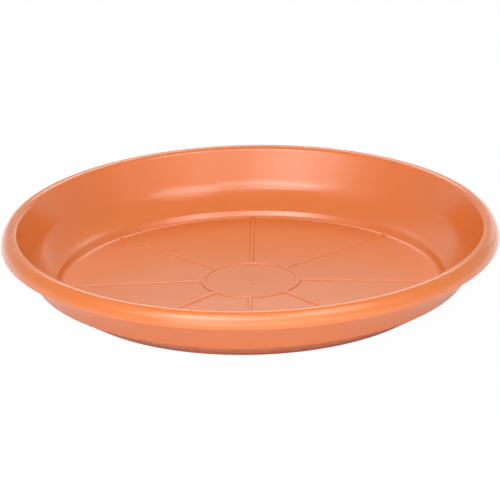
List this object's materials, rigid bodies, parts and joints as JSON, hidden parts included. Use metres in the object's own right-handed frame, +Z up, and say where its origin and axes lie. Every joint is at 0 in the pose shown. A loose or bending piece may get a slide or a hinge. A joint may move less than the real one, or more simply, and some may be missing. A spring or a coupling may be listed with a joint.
{
  "type": "plant saucer",
  "caption": "Round terracotta plastic plant saucer with a rolled rim, sloped walls and a ribbed floor that holds a pot clear of drained water.",
  "frame": {"origin": "bottom centre, on the plane that the saucer stands on", "axes": "+Z up through the middle of the floor; one floor rib lies along +X and one along +Y"},
  "size_m": [0.3, 0.3, 0.0398],
  "materials": {
    "terracotta_plastic": "satin"
  },
  "bodies": {
    "root": {"saucer": "terracotta_plastic"}
  },
  "joints": []
}
